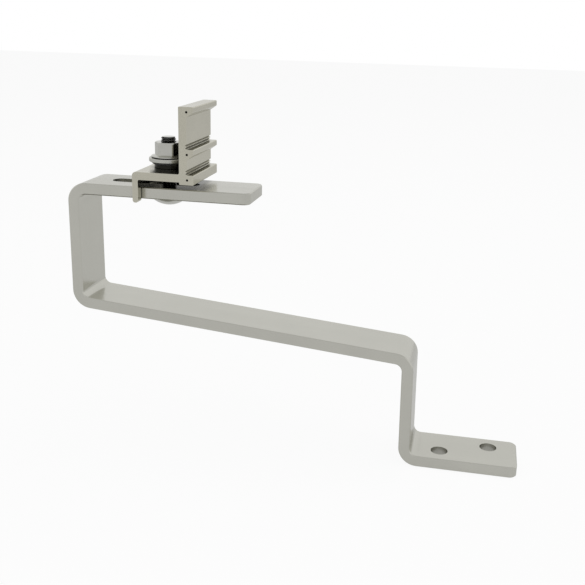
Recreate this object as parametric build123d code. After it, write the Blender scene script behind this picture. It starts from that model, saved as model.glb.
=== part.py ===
from build123d import *
import os
from math import radians, tan
os.makedirs("parts", exist_ok=True)

# Solar roof hook: a bent flat bar with a slotted top arm, and an extruded
# rail bracket bolted on it. Millimetres. The origin is midway between the
# two foot holes on the foot's underside; +Z is away from the roof, +X runs
# towards the foot's free end.

# --- hook strap, one flat bar with four bends
strap_width = 30.0
strap_t = 6.0
hook_length = 242.5
hook_height = 140.0
bend_inner_r = 4.0
foot_length = 55.5
top_arm_length = 98.5
arm_height = 67.0
arm_fall_deg = 5.0
step_lean_deg = 1.1
corner_r = 4.0
edge_break = 0.5

# --- foot holes, a staggered pair
foot_hole_d = 9.0
foot_hole_pitch_x = 25.5
foot_hole_pitch_y = 10.6
foot_hole_end = 15.0

# --- adjustment slot in the top arm
bolt_d = 8.0
slot_clearance = 0.5
slot_start = 19.6
slot_length = 48.0
bolt_from_back = 51.0

# --- rail bracket, an extrusion along Y
bracket_length = 40.0
wall_t = 4.0
leg_gap = 4.6
foot_gap = 3.4
lip_t = 3.0
lip_drop = 1.2
leg_reach = 12.7
web_offset = 12.4
web_t = 4.2
web_height = 42.1
rib_reach = 3.4
rib_tip = 2.7
rib_slope = 2.4
mid_rib_top = 21.2
low_rib_top = 8.4
notch_clearance = 0.5
bracket_hole_clearance = 0.5
outer_r = 2.0
inner_r = 0.8
nose_r = 0.5

# --- serrations and root bores of the extrusion
groove_count = 2
groove_pitch = 1.3
groove_depth = 0.9
root_bore_d = 1.2

# --- fasteners
head_d = 20.0
head_h = 5.2
head_rim = 0.8
neck_h = 4.8
bolt_top = 24.5
bolt_chamfer = 0.8
thread_clearance = 0.05
nut_af = 13.0
nut_corner_d = 14.6
nut_h = 8.0
flange_d = 18.2
flange_rim = 0.9
flange_rise = 0.9
nut_chamfer = 0.6
nut_turn_deg = 5.0
flange_chamfer = 0.5
neck_edge = 0.6
wide_washer_d = 20.6
wide_washer_t = 2.0
plain_washer_d = 17.4
plain_washer_t = 1.2
spring_washer_d = 15.2
spring_washer_t = 2.0
spring_split = 0.8
spring_split_deg = 20.0
washer_bore_clearance = 0.3
washer_edge = 0.25

# --- positions worked out from the sizes above
foot_end_x = foot_hole_end + foot_hole_pitch_x / 2
back_x = foot_end_x - hook_length
arm_top_z = hook_height
bolt_x = back_x + bolt_from_back
bolt_r = bolt_d / 2
leg_low_z = arm_top_z + leg_gap
leg_top_z = leg_low_z + wall_t
lip_x = bolt_x - leg_reach
web_x = bolt_x + web_offset
web_face_x = web_x + web_t
web_top_z = arm_top_z + web_height
foot_low_z = arm_top_z + foot_gap
lip_low_z = arm_top_z - strap_t - lip_drop


def bar_path():
    """Centre line of the bar, from the foot's end to the top arm's end."""
    half = strap_t / 2
    foot_x = foot_end_x - foot_length - half
    lean = tan(radians(step_lean_deg))
    fall = tan(radians(arm_fall_deg))
    step_mid_x = foot_x - lean * arm_height / 2
    arm_mid_x = (back_x + step_mid_x) / 2
    knee_z = arm_height - fall * (step_mid_x - arm_mid_x)
    knee_x = foot_x - lean * (knee_z - half)
    heel_x = back_x + half
    heel_z = arm_height + fall * (arm_mid_x - heel_x)
    points = [
        (foot_end_x, 0, half),
        (foot_x, 0, half),
        (knee_x, 0, knee_z),
        (heel_x, 0, heel_z),
        (heel_x, 0, arm_top_z - half),
        (back_x + top_arm_length, 0, arm_top_z - half),
    ]
    return FilletPolyline(*points, radius=bend_inner_r + half)


def slot_cutter():
    """Rounded slot through the top arm, wide enough for the bolt's neck."""
    width = bolt_d + 2 * slot_clearance
    mid_x = back_x + slot_start + slot_length / 2
    outline = SlotOverall(slot_length, width)
    return Pos(mid_x, 0, arm_top_z - 2 * strap_t) * extrude(outline, 3 * strap_t)


def foot_hole_cutters():
    """The two staggered screw holes in the foot."""
    holes = []
    for side in (-1, 1):
        x = side * foot_hole_pitch_x / 2
        y = side * foot_hole_pitch_y / 2
        holes.append(Pos(x, y, strap_t / 2) * Cylinder(foot_hole_d / 2, 2 * strap_t))
    return holes


def is_seam(edge):
    """True for the lines where a flat meets a bend or a rounded corner."""
    if edge.geom_type != GeomType.LINE:
        return False
    run = edge.tangent_at(0.5)
    across = abs(run.Y) > 0.999 and abs(edge.length - strap_width) < edge_break
    through = abs(run.Z) > 0.999 and abs(edge.length - strap_t) < edge_break
    return across or through


def make_hook_strap():
    """Flat bar bent four times, slotted at the top and drilled at the foot."""
    path = bar_path()
    section = Plane(origin=path @ 0, x_dir=(0, 1, 0), z_dir=path % 0) * Rectangle(strap_width, strap_t)
    bar = sweep(section, path=path)
    ends = [e for e in bar.edges().filter_by(Axis.Z) if abs(e.length - strap_t) < edge_break]
    bar = fillet(ends, corner_r)
    bar = chamfer([e for e in bar.edges() if not is_seam(e)], edge_break)
    bar = bar - slot_cutter()
    for hole in foot_hole_cutters():
        bar = bar - hole
    return bar


def block(x0, z0, x1, z1):
    """Rectangle of the bracket's section between two corners."""
    return Pos((x0 + x1) / 2, (z0 + z1) / 2) * Rectangle(x1 - x0, z1 - z0)


def rib(top_z, tip, slope):
    """Rib on the web's outer side, flat above and sloping below."""
    tip_x = web_face_x + rib_reach
    points = [
        (web_x, top_z),
        (tip_x, top_z),
        (tip_x, top_z - tip),
        (web_face_x, top_z - tip - slope),
        (web_x, top_z - tip - slope),
    ]
    return make_face(Polyline(*points, close=True))


def serrations(base_z):
    """V grooves in the web's outer face, just above a rib."""
    cuts = Sketch()
    for i in range(groove_count):
        low = base_z + i * groove_pitch
        points = [
            (web_face_x, low),
            (web_face_x - groove_depth, low + groove_pitch / 2),
            (web_face_x, low + groove_pitch),
        ]
        cuts = cuts + make_face(Polyline(*points, close=True))
    return cuts


def corner(sketch, x, z):
    """The section's vertex nearest to a point."""
    return sketch.vertices().sort_by_distance((x, z, 0))[0]


def bracket_section():
    """Section of the extrusion, drawn with X across and Z up."""
    tip_x = web_face_x + rib_reach
    shape = block(lip_x, leg_low_z, web_x, leg_top_z)
    shape = shape + block(lip_x, lip_low_z, lip_x + lip_t, leg_top_z)
    shape = shape + block(web_x, foot_low_z, web_face_x, web_top_z)
    shape = shape + rib(web_top_z, rib_tip, rib_slope)
    shape = shape + rib(arm_top_z + mid_rib_top, rib_tip, rib_slope)
    shape = shape + block(web_face_x, foot_low_z, tip_x, arm_top_z + low_rib_top)
    shape = fillet(corner(shape, lip_x, leg_top_z), outer_r)
    shape = fillet(corner(shape, lip_x, lip_low_z), lip_t / 2 - nose_r / 2)
    shape = fillet(corner(shape, lip_x + lip_t, lip_low_z), lip_t / 2 - nose_r / 2)
    shape = fillet(corner(shape, lip_x + lip_t, leg_low_z), inner_r)
    shape = fillet(corner(shape, web_x, leg_top_z), inner_r)
    shape = fillet(corner(shape, web_x, web_top_z), nose_r)
    shape = fillet(corner(shape, web_x, foot_low_z), nose_r)
    for x, z in ((tip_x, web_top_z), (tip_x, arm_top_z + mid_rib_top), (tip_x, arm_top_z + low_rib_top),
                 (tip_x, web_top_z - rib_tip), (tip_x, arm_top_z + mid_rib_top - rib_tip), (tip_x, foot_low_z)):
        shape = fillet(corner(shape, x, z), nose_r)
    shape = shape - serrations(arm_top_z + mid_rib_top)
    shape = shape - serrations(arm_top_z + low_rib_top)
    for z in root_bore_levels():
        shape = shape - Pos(web_face_x, z) * Circle(root_bore_d / 2)
    return shape


def root_bore_levels():
    """Heights of the small bores along the roots of the three ribs."""
    depth = (rib_tip + rib_slope) / 2
    low = (foot_low_z + arm_top_z + low_rib_top) / 2
    return (web_top_z - depth, arm_top_z + mid_rib_top - depth, low)


def make_rail_bracket():
    """Extruded bracket whose lip is notched to sit astride the top arm."""
    body = extrude(Plane.XZ * bracket_section(), bracket_length / 2, both=True)
    notch_w = strap_width + 2 * notch_clearance
    notch_h = arm_top_z - lip_low_z
    notch = Pos(lip_x + lip_t / 2, 0, arm_top_z - notch_h) * Box(2 * lip_t, notch_w, 2 * notch_h)
    hole = Pos(bolt_x, 0, leg_low_z) * Cylinder(bolt_r + bracket_hole_clearance, 4 * wall_t)
    return body - notch - hole


def make_carriage_bolt():
    """Bolt with a low domed head and a square neck that stays in the slot."""
    seat_z = arm_top_z - strap_t
    dome_h = head_h - head_rim
    dome_r = ((head_d / 2) ** 2 + dome_h ** 2) / (2 * dome_h)
    dome = Pos(0, 0, dome_r - head_h) * Sphere(dome_r)
    rim = Pos(0, 0, -head_h / 2) * Cylinder(head_d / 2, head_h)
    head = dome & rim
    neck = Box(bolt_d, bolt_d, neck_h)
    neck = Pos(0, 0, neck_h / 2) * chamfer(neck.edges().filter_by(Axis.Z), neck_edge)
    shank_h = arm_top_z + bolt_top - seat_z
    shank = Pos(0, 0, shank_h / 2) * Cylinder(bolt_r, shank_h)
    shank = chamfer(shank.edges().group_by(Axis.Z)[-1], bolt_chamfer)
    return Pos(bolt_x, 0, seat_z) * (head + neck + shank)


def ring(diameter, thickness, low_z):
    """Flat washer round the bolt with its rims broken."""
    body = Pos(0, 0, thickness / 2) * Cylinder(diameter / 2, thickness)
    body = chamfer(body.edges().filter_by(GeomType.CIRCLE), washer_edge)
    bore = Cylinder(bolt_r + washer_bore_clearance, 4 * thickness)
    return Pos(bolt_x, 0, low_z) * (body - bore)


def make_spring_washer(low_z):
    """Split lock washer, clamped flat."""
    whole = ring(spring_washer_d, spring_washer_t, low_z)
    split = Rot(spring_split_deg, 0, 0) * Box(spring_washer_d, spring_split, 4 * spring_washer_t)
    split = Pos(bolt_x - spring_washer_d / 2, 0, low_z + spring_washer_t / 2) * split
    return whole - split


def make_flange_nut(low_z):
    """Hexagon nut with a sloping round flange below it."""
    hexagon = RegularPolygon(nut_af / 2, 6, major_radius=False)
    prism = extrude(hexagon, nut_h)
    turned = Pos(0, 0, nut_h / 2) * Cylinder(nut_corner_d / 2, nut_h)
    turned = chamfer(turned.edges().group_by(Axis.Z)[-1], nut_chamfer)
    disc = Pos(0, 0, flange_rim / 2) * Cylinder(flange_d / 2, flange_rim)
    disc = chamfer(disc.edges().group_by(Axis.Z)[0], flange_chamfer)
    neck_r = nut_af / 2 - nut_chamfer
    cone = Pos(0, 0, flange_rim + flange_rise / 2) * Cone(flange_d / 2, neck_r, flange_rise)
    bore = Pos(0, 0, nut_h / 2) * Cylinder(bolt_r + thread_clearance, 2 * nut_h)
    return Pos(bolt_x, 0, low_z) * Rot(0, 0, nut_turn_deg) * ((prism & turned) + disc + cone - bore)


spring_z = leg_top_z
plain_z = spring_z + spring_washer_t
wide_z = plain_z + plain_washer_t
nut_z = wide_z + wide_washer_t

export_step(make_hook_strap(), "parts/hook_strap.step")
export_step(make_rail_bracket(), "parts/rail_bracket.step")
export_step(make_carriage_bolt(), "parts/carriage_bolt.step")
export_step(make_flange_nut(nut_z), "parts/flange_nut.step")
export_step(ring(wide_washer_d, wide_washer_t, wide_z), "parts/wide_washer.step")
export_step(ring(plain_washer_d, plain_washer_t, plain_z), "parts/plain_washer.step")
export_step(make_spring_washer(spring_z), "parts/spring_washer.step")
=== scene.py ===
import bmesh
import bpy
from math import cos, floor, pi, radians, sin
from mathutils import Matrix, Vector


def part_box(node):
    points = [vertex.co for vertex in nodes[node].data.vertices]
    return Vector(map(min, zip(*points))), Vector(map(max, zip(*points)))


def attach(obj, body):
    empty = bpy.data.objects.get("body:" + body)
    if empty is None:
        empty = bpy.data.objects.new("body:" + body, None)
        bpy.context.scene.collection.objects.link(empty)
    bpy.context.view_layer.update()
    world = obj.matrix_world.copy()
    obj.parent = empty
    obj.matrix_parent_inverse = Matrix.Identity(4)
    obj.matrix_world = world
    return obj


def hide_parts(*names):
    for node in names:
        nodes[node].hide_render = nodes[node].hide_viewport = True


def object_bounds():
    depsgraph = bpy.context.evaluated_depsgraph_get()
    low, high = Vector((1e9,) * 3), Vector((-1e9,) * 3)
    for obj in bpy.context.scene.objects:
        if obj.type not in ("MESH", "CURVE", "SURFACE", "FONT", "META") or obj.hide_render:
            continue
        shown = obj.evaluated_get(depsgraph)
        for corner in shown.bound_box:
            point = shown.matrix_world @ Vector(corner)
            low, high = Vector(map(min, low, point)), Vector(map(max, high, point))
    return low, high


# Solar roof hook: materials for the CAD pieces, a threaded bolt, studio and camera.
# Metres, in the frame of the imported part.

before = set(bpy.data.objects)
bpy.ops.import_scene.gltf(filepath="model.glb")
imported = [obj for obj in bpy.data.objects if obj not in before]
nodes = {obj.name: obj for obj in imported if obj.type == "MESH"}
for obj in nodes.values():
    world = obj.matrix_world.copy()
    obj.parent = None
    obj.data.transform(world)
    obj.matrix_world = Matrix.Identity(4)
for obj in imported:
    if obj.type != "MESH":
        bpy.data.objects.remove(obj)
size_at_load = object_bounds()

# camera, at the photograph's viewing angle: degrees, metres, millimetres of lens
VIEW_AZIMUTH = 11.74
VIEW_ELEVATION = 17.62
VIEW_ROLL = 1.42
VIEW_DISTANCE = 0.4676
AIM_SHIFT = Vector((-0.0025, 0.0, -0.0055))
SENSOR = 36.0
LENS = 54.17
CLIP_NEAR = 0.01
CLIP_FAR = 50.0

# floor: how much of it is plain white to the camera, and how much is even in metal
FLOOR_HALF = 4.0
FLOOR_DROP = 0.0002
FLOOR_TONE = 0.9
FLOOR_SEEN = 0.92
FLOOR_EVEN = 0.7
FLOOR_IN_METAL = 0.74

# sky: its light on the object, and its brightness in metal from low to high
SKY_LIGHT = 0.44
LOW_SKY_Z = 0.5
HIGH_SKY_Z = 0.8
LOW_SKY_IN_METAL = 0.9
HIGH_SKY_IN_METAL = 0.7

# metal: a noise that varies fast across the grain and slowly along it
STRAP_GRAIN = (0.6, 30.0, 0.6)
BRACKET_GRAIN = (30.0, 0.5, 30.0)
TURNED_GRAIN = (6.0, 6.0, 30.0)
NO_STRETCH = (1.0, 1.0, 1.0)
GRAIN_SCALE = 60.0
CLOUD_SCALE = 45.0
NOISE_LOW = 0.3
NOISE_HIGH = 0.7
GRAIN_IN_TONE = 0.6
CLOUDS_IN_TONE = 0.4
GRAIN_IN_ROUGHNESS = 0.15
BUMP_HEIGHT = 0.00005
ANISOTROPY = 0.3
EDGE_TINT = (0.92, 0.92, 0.91, 1.0)
# lighter edge bands: rubbed edges on bright metal, painted glints on near-black metal
EDGE_SAMPLES = 6
EDGE_DOT = 0.86
# painted shade: ambient occlusion darkens the colour in gaps, corners and under things
CREVICE_SAMPLES = 8
CREVICE_SHUT = 0.2

# bolt: head, square neck and thread
BOLT_R = 0.004
HEAD_RIM = 0.0008
HEAD_H = 0.0052
HEAD_RINGS = 14
HEAD_CAP_R = 0.9 * BOLT_R
NECK_H = 0.0048
NECK_BEVEL = 0.0005
NECK_SEGMENTS = 3
THREAD_PITCH = 0.00125
THREAD_DEPTH = 0.00062
THREAD_FLANKS = 0.86
THREAD_STEPS = 12
RING_SIDES = 64
END_CHAMFER = 0.0008
SHARP_ANGLE = 35


def add_object(name, data):
    """A new object in the scene."""
    obj = bpy.data.objects.new(name, data)
    bpy.context.scene.collection.objects.link(obj)
    return obj


def new_material(name):
    """An empty node material and its output."""
    mat = bpy.data.materials.new(name)
    mat.use_nodes = True
    mat.node_tree.nodes.clear()
    out = mat.node_tree.nodes.new("ShaderNodeOutputMaterial")
    return mat, mat.node_tree, out


def feed(tree, value, socket):
    """Link a socket to another, or give it a plain value."""
    if isinstance(value, bpy.types.NodeSocket):
        tree.links.new(value, socket)
    else:
        socket.default_value = value


def math_of(tree, operation, a, b):
    """Sum or product of two sockets or numbers."""
    node = tree.nodes.new("ShaderNodeMath")
    node.operation = operation
    feed(tree, a, node.inputs[0])
    feed(tree, b, node.inputs[1])
    return node.outputs["Value"]


def map_range(tree, value, start, end, low=0.0, high=1.0):
    """Turn start..end of a socket into low..high, held at both ends."""
    node = tree.nodes.new("ShaderNodeMapRange")
    node.inputs["From Min"].default_value = start
    node.inputs["From Max"].default_value = end
    node.inputs["To Min"].default_value = low
    node.inputs["To Max"].default_value = high
    feed(tree, value, node.inputs["Value"])
    return node.outputs["Result"]


def mix_colors(tree, factor, first, second):
    """Mix two colours, each a socket or a plain colour, by a socket."""
    node = tree.nodes.new("ShaderNodeMix")
    node.data_type = "RGBA"
    feed(tree, factor, node.inputs["Factor"])
    feed(tree, first, node.inputs["A"])
    feed(tree, second, node.inputs["B"])
    return node.outputs["Result"]


def mix_shaders(tree, factor, first, second):
    """Mix two shaders by a socket."""
    node = tree.nodes.new("ShaderNodeMixShader")
    feed(tree, factor, node.inputs["Fac"])
    feed(tree, first, node.inputs[1])
    feed(tree, second, node.inputs[2])
    return node.outputs["Shader"]


def noise(tree, stretch, scale, detail, rough):
    """Noise on object coordinates, stretched along each axis as asked."""
    coord = tree.nodes.new("ShaderNodeTexCoord")
    mapping = tree.nodes.new("ShaderNodeMapping")
    mapping.inputs["Scale"].default_value = stretch
    tex = tree.nodes.new("ShaderNodeTexNoise")
    tex.inputs["Scale"].default_value = scale
    tex.inputs["Detail"].default_value = detail
    tex.inputs["Roughness"].default_value = rough
    feed(tree, coord.outputs["Object"], mapping.inputs["Vector"])
    feed(tree, mapping.outputs["Vector"], tex.inputs["Vector"])
    return tex.outputs["Fac"]


def spread_noise(tree, value, low, high):
    """Turn the middle of the noise into low..high."""
    return map_range(tree, value, NOISE_LOW, NOISE_HIGH, low, high)


def edge_mask(tree, radius):
    """About 1 along sharp outer and inner edges and 0 on flats."""
    bevel = tree.nodes.new("ShaderNodeBevel")
    bevel.samples = EDGE_SAMPLES
    bevel.inputs["Radius"].default_value = radius
    geo = tree.nodes.new("ShaderNodeNewGeometry")
    dot = tree.nodes.new("ShaderNodeVectorMath")
    dot.operation = "DOT_PRODUCT"
    feed(tree, bevel.outputs["Normal"], dot.inputs[0])
    feed(tree, geo.outputs["Normal"], dot.inputs[1])
    return map_range(tree, dot.outputs["Value"], 1.0, EDGE_DOT)


def crevice(tree, reach, depth, open_at):
    """Painted shade: 1 from open_at upwards, falling to 1 - depth deep inside gaps and corners.
    """
    ao = tree.nodes.new("ShaderNodeAmbientOcclusion")
    ao.samples = CREVICE_SAMPLES
    ao.inputs["Distance"].default_value = reach
    return map_range(tree, ao.outputs["AO"], CREVICE_SHUT, open_at, 1.0 - depth, 1.0)


def tint(color, gain):
    """A colour made lighter or darker, with full alpha."""
    return [min(part * gain, 1.0) for part in color] + [1.0]


def metal(name, color, roughness, grain, bump=0.12, spread=0.04, edge_wear_and_glint_gain=1.0, wear_and_glint_band=0.0003,
          reach=0.014, depth=0.9, open_at=0.5):
    """Bare metal with a fine directional grain, cloudy tone, lighter edge bands and painted
    shade darkening its gaps and corners; the edge bands are rubbed edges on bright metal and
    painted glints on near-black metal.
    """
    mat, tree, out = new_material(name)
    bsdf = tree.nodes.new("ShaderNodeBsdfPrincipled")
    bsdf.inputs["Metallic"].default_value = 1.0
    bsdf.inputs["Anisotropic"].default_value = ANISOTROPY
    bsdf.inputs["Specular Tint"].default_value = EDGE_TINT
    streaks = noise(tree, grain, GRAIN_SCALE, detail=4.0, rough=0.6)
    clouds = noise(tree, NO_STRETCH, CLOUD_SCALE, detail=2.0, rough=0.55)
    grain_tone = spread_noise(tree, streaks, 0.0, GRAIN_IN_TONE)
    cloud_tone = spread_noise(tree, clouds, 0.0, CLOUDS_IN_TONE)
    both = math_of(tree, "ADD", grain_tone, cloud_tone)
    tone = mix_colors(tree, both, tint(color, 1 - spread), tint(color, 1 + spread))
    # Lighter edge bands: rubbed edges on the bright metals, painted glints on the near-black
    # fastener metals.
    wear_and_glint = mix_colors(tree, edge_mask(tree, wear_and_glint_band), tone, tint(color, edge_wear_and_glint_gain))
    # Painted shade: the colour is darkened in gaps, corners and under things by ambient
    # occlusion.
    shade = tree.nodes.new("ShaderNodeVectorMath")
    shade.operation = "SCALE"
    feed(tree, wear_and_glint, shade.inputs[0])
    feed(tree, crevice(tree, reach, depth, open_at), shade.inputs["Scale"])
    feed(tree, shade.outputs["Vector"], bsdf.inputs["Base Color"])
    smooth_part = roughness * (1 - GRAIN_IN_ROUGHNESS)
    rough_part = roughness * (1 + GRAIN_IN_ROUGHNESS)
    feed(tree, spread_noise(tree, streaks, smooth_part, rough_part), bsdf.inputs["Roughness"])
    relief = tree.nodes.new("ShaderNodeBump")
    relief.inputs["Strength"].default_value = bump
    relief.inputs["Distance"].default_value = BUMP_HEIGHT
    feed(tree, streaks, relief.inputs["Height"])
    feed(tree, relief.outputs["Normal"], bsdf.inputs["Normal"])
    feed(tree, bsdf.outputs["BSDF"], out.inputs["Surface"])
    return mat


def dress(obj, mat):
    """Give every material slot of a piece the same material."""
    for i in range(len(obj.data.materials)):
        obj.data.materials[i] = mat
    if not obj.data.materials:
        obj.data.materials.append(mat)


def ring_of(bm, z, radius_at):
    """A ring of vertices at height z; radius_at gives the radius at each angle."""
    verts = []
    for i in range(RING_SIDES):
        angle = 2 * pi * i / RING_SIDES
        radius = radius_at(angle)
        verts.append(bm.verts.new((radius * cos(angle), radius * sin(angle), z)))
    return verts


def round_ring(bm, z, radius):
    """A ring of one radius."""
    return ring_of(bm, z, lambda angle: radius)


def skin(bm, rings):
    """Quads from ring to ring, which are returned, and a cap at each end."""
    sides = []
    for lower, upper in zip(rings, rings[1:]):
        for i in range(RING_SIDES):
            j = (i + 1) % RING_SIDES
            sides.append(bm.faces.new((lower[i], lower[j], upper[j], upper[i])))
    bm.faces.new(reversed(rings[0]))
    bm.faces.new(rings[-1])
    return sides


def thread_radius(angle, z, top):
    """Radius of a right-hand V thread with narrow flat roots, chamfered at its end."""
    turn = z / THREAD_PITCH - angle / (2 * pi)
    phase = turn - floor(turn)
    cut = min(abs(phase - 0.5) * 2 / THREAD_FLANKS, 1.0)
    return min(BOLT_R - THREAD_DEPTH * cut, BOLT_R - END_CHAMFER + max(top - z, 0.0))


def add_head(bm, base, radius):
    """Domed head with a thin rim, its crown at base and its flat side up."""
    dome_h = HEAD_H - HEAD_RIM
    sphere_r = (radius ** 2 + dome_h ** 2) / (2 * dome_h)
    rings = []
    for i in range(1, HEAD_RINGS + 1):
        r = radius * i / HEAD_RINGS
        rings.append(round_ring(bm, base + sphere_r - (sphere_r ** 2 - r ** 2) ** 0.5, r))
    rings.append(round_ring(bm, base + HEAD_H, radius))
    rings.append(round_ring(bm, base + HEAD_H, HEAD_CAP_R))
    skin(bm, rings)


def add_shank(bm, start, top):
    """Threaded shank, its sides in the second material."""
    count = int((top - start) / (THREAD_PITCH / THREAD_STEPS))
    rings = [round_ring(bm, start, BOLT_R)]
    for i in range(1, count + 1):
        z = start + (top - start) * i / count
        rings.append(ring_of(bm, z, lambda angle: thread_radius(angle, z, top)))
    for face in skin(bm, rings):
        face.material_index = 1


def add_neck(bm, start):
    """Square neck with rounded upright edges."""
    verts = bmesh.ops.create_cube(bm, size=1.0)["verts"]
    bmesh.ops.scale(bm, vec=(2 * BOLT_R, 2 * BOLT_R, NECK_H), verts=verts)
    bmesh.ops.translate(bm, vec=(0, 0, start + NECK_H / 2), verts=verts)
    edges = {edge for vert in verts for edge in vert.link_edges}
    upright = [e for e in edges if abs(e.verts[0].co.z - e.verts[1].co.z) > NECK_H / 2]
    bmesh.ops.bevel(bm, geom=upright, offset=NECK_BEVEL, segments=NECK_SEGMENTS, affect="EDGES")


def make_bolt(plain, threaded):
    """Carriage bolt: domed head, square neck and a darker threaded shank, whose near-black
    colour is painted shade and whose bright crests are painted glints.
    """
    low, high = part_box("carriage_bolt")
    centre = (low + high) / 2
    bm = bmesh.new()
    add_head(bm, low.z, (high.x - low.x) / 2)
    add_shank(bm, low.z + HEAD_H + NECK_H, high.z)
    add_neck(bm, low.z + HEAD_H)
    bmesh.ops.translate(bm, vec=(centre.x, centre.y, 0), verts=bm.verts)
    mesh = bpy.data.meshes.new("carriage_bolt_threaded")
    bm.to_mesh(mesh)
    bm.free()
    mesh.materials.append(plain)
    mesh.materials.append(threaded)
    for poly in mesh.polygons:
        poly.use_smooth = True
    mesh.set_sharp_from_angle(angle=radians(SHARP_ANGLE))
    obj = add_object("carriage_bolt_threaded", mesh)
    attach(obj, "root")
    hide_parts("carriage_bolt")


def floor_look():
    """White that keeps a faint shadow, with its own tone in metal, clear from underneath."""
    mat, tree, out = new_material("floor_white")
    path = tree.nodes.new("ShaderNodeLightPath")
    geo = tree.nodes.new("ShaderNodeNewGeometry")
    diffuse = tree.nodes.new("ShaderNodeBsdfDiffuse")
    diffuse.inputs["Color"].default_value = (FLOOR_TONE, FLOOR_TONE, FLOOR_TONE, 1)
    mirrored = tree.nodes.new("ShaderNodeEmission")
    mirrored.inputs["Strength"].default_value = FLOOR_IN_METAL
    white = tree.nodes.new("ShaderNodeEmission")
    clear = tree.nodes.new("ShaderNodeBsdfTransparent")
    in_metal = math_of(tree, "MULTIPLY", path.outputs["Is Glossy Ray"], FLOOR_EVEN)
    seen = math_of(tree, "MULTIPLY", path.outputs["Is Camera Ray"], FLOOR_SEEN)
    below = math_of(tree, "MULTIPLY", geo.outputs["Backfacing"], path.outputs["Is Camera Ray"])
    look = mix_shaders(tree, in_metal, diffuse.outputs["BSDF"], mirrored.outputs["Emission"])
    look = mix_shaders(tree, seen, look, white.outputs["Emission"])
    look = mix_shaders(tree, below, look, clear.outputs["BSDF"])
    feed(tree, look, out.inputs["Surface"])
    return mat


def make_floor(centre):
    """A flat floor that casts no shadow, so that the crevice shading leaves it out."""
    corners = [
        (-FLOOR_HALF, -FLOOR_HALF, -FLOOR_DROP),
        (FLOOR_HALF, -FLOOR_HALF, -FLOOR_DROP),
        (FLOOR_HALF, FLOOR_HALF, -FLOOR_DROP),
        (-FLOOR_HALF, FLOOR_HALF, -FLOOR_DROP),
    ]
    mesh = bpy.data.meshes.new("floor")
    mesh.from_pydata(corners, [], [(0, 1, 2, 3)])
    mesh.materials.append(floor_look())
    obj = add_object("floor", mesh)
    obj.location = (centre.x, centre.y, 0)
    obj.visible_shadow = False


def make_world():
    """White to the camera, its own brightness in metal, and plain light otherwise."""
    world = bpy.data.worlds.new("studio")
    world.use_nodes = True
    tree = world.node_tree
    tree.nodes.clear()
    out = tree.nodes.new("ShaderNodeOutputWorld")
    path = tree.nodes.new("ShaderNodeLightPath")
    coord = tree.nodes.new("ShaderNodeTexCoord")
    parts = tree.nodes.new("ShaderNodeSeparateXYZ")
    feed(tree, coord.outputs["Generated"], parts.inputs["Vector"])
    sky = map_range(tree, parts.outputs["Z"], LOW_SKY_Z, HIGH_SKY_Z,
                    LOW_SKY_IN_METAL, HIGH_SKY_IN_METAL)
    shades = []
    for strength in (SKY_LIGHT, sky, 1.0):
        node = tree.nodes.new("ShaderNodeBackground")
        node.inputs["Color"].default_value = (1, 1, 1, 1)
        feed(tree, strength, node.inputs["Strength"])
        shades.append(node.outputs["Background"])
    light, mirrored, seen = shades
    look = mix_shaders(tree, path.outputs["Is Glossy Ray"], light, mirrored)
    look = mix_shaders(tree, path.outputs["Is Camera Ray"], look, seen)
    feed(tree, look, out.inputs["Surface"])
    bpy.context.scene.world = world


def make_lamp(name, place, aim, side, power):
    """A soft square lamp pointed at the object, not seen in metal."""
    data = bpy.data.lights.new(name, "AREA")
    data.shape = "SQUARE"
    data.size = side
    data.energy = power
    obj = add_object(name, data)
    obj.location = place
    obj.rotation_mode = "QUATERNION"
    obj.rotation_quaternion = (aim - Vector(place)).to_track_quat("-Z", "Y")
    obj.visible_glossy = False


def make_camera(centre):
    """Camera at the photograph's viewing angle."""
    a = radians(VIEW_AZIMUTH)
    e = radians(VIEW_ELEVATION)
    toward = Vector((-sin(a) * cos(e), cos(a) * cos(e), -sin(e)))
    right = Vector((cos(a), sin(a), 0.0))
    up = right.cross(toward)
    roll = Matrix.Rotation(radians(VIEW_ROLL), 3, -toward)
    turn = Matrix((right, up, -toward)).transposed()
    place = Matrix.Translation(centre + AIM_SHIFT - toward * VIEW_DISTANCE)
    data = bpy.data.cameras.new("camera")
    data.sensor_width = SENSOR
    data.lens = LENS
    data.clip_start = CLIP_NEAR
    data.clip_end = CLIP_FAR
    obj = add_object("camera", data)
    obj.matrix_world = place @ (roll @ turn).to_4x4()
    bpy.context.scene.camera = obj


strap = metal("strap_satin", color=(0.56, 0.555, 0.505), roughness=0.22, grain=STRAP_GRAIN,
              wear_and_glint_band=0.0006, open_at=0.58)
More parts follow.
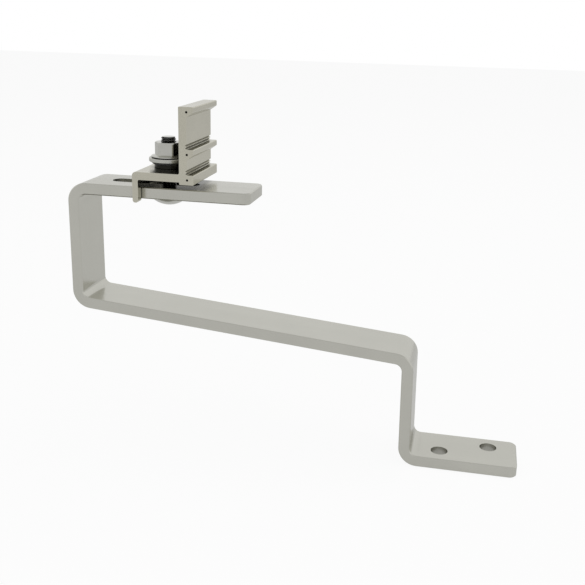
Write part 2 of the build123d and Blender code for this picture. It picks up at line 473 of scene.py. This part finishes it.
# stronger painted shade here blackens the gap under the bracket's leg
alloy = metal("bracket_extruded", color=(0.565, 0.547, 0.46), roughness=0.2, grain=BRACKET_GRAIN,
              bump=0.15, spread=0.06, edge_wear_and_glint_gain=1.04, wear_and_glint_band=0.0006, reach=0.012, depth=0.85)
satin = metal("washer_satin", color=(0.54, 0.54, 0.5), roughness=0.24, grain=TURNED_GRAIN,
              edge_wear_and_glint_gain=1.1)
# stronger painted shade here darkens the nut's facets near the upright
bright = metal("fastener_bright", color=(0.55, 0.55, 0.51), roughness=0.12, grain=TURNED_GRAIN,
               edge_wear_and_glint_gain=1.2, open_at=0.62)
# near-black spring washer; its lighter edges are painted glints
dark = metal("fastener_dark_painted_glint", color=(0.03, 0.03, 0.028), roughness=0.1, grain=TURNED_GRAIN,
             spread=0.08, edge_wear_and_glint_gain=6.0, depth=0.3)
# near-black plain washer: painted shadow under the wide washer, its lighter edges painted glints
grey = metal("plain_washer_painted_shadow_glint", color=(0.05, 0.05, 0.048), roughness=0.1, grain=TURNED_GRAIN,
             spread=0.08, edge_wear_and_glint_gain=6.0, wear_and_glint_band=0.0002, depth=0.3)
# near-black thread: painted shade in the thread, its far lighter crests painted glints
thread = metal("thread_painted_shade_glint", color=(0.02, 0.02, 0.019), roughness=0.1, grain=TURNED_GRAIN,
               bump=0.1, spread=0.08, edge_wear_and_glint_gain=25.0, wear_and_glint_band=0.00018, depth=0.3)

dress(nodes["hook_strap"], strap)
dress(nodes["rail_bracket"], alloy)
dress(nodes["flange_nut"], bright)
dress(nodes["wide_washer"], satin)
dress(nodes["plain_washer"], grey)
dress(nodes["spring_washer"], dark)
make_bolt(bright, thread)

low, high = size_at_load
centre = (low + high) / 2
make_floor(centre)
make_world()
make_lamp("key", place=(0.2, 0.1, 1.3), aim=centre, side=1.8, power=8.0)
make_lamp("fill", place=(-0.9, -0.9, 0.7), aim=centre, side=1.2, power=3.0)
make_camera(centre)
bpy.context.scene.view_settings.view_transform = "Standard"
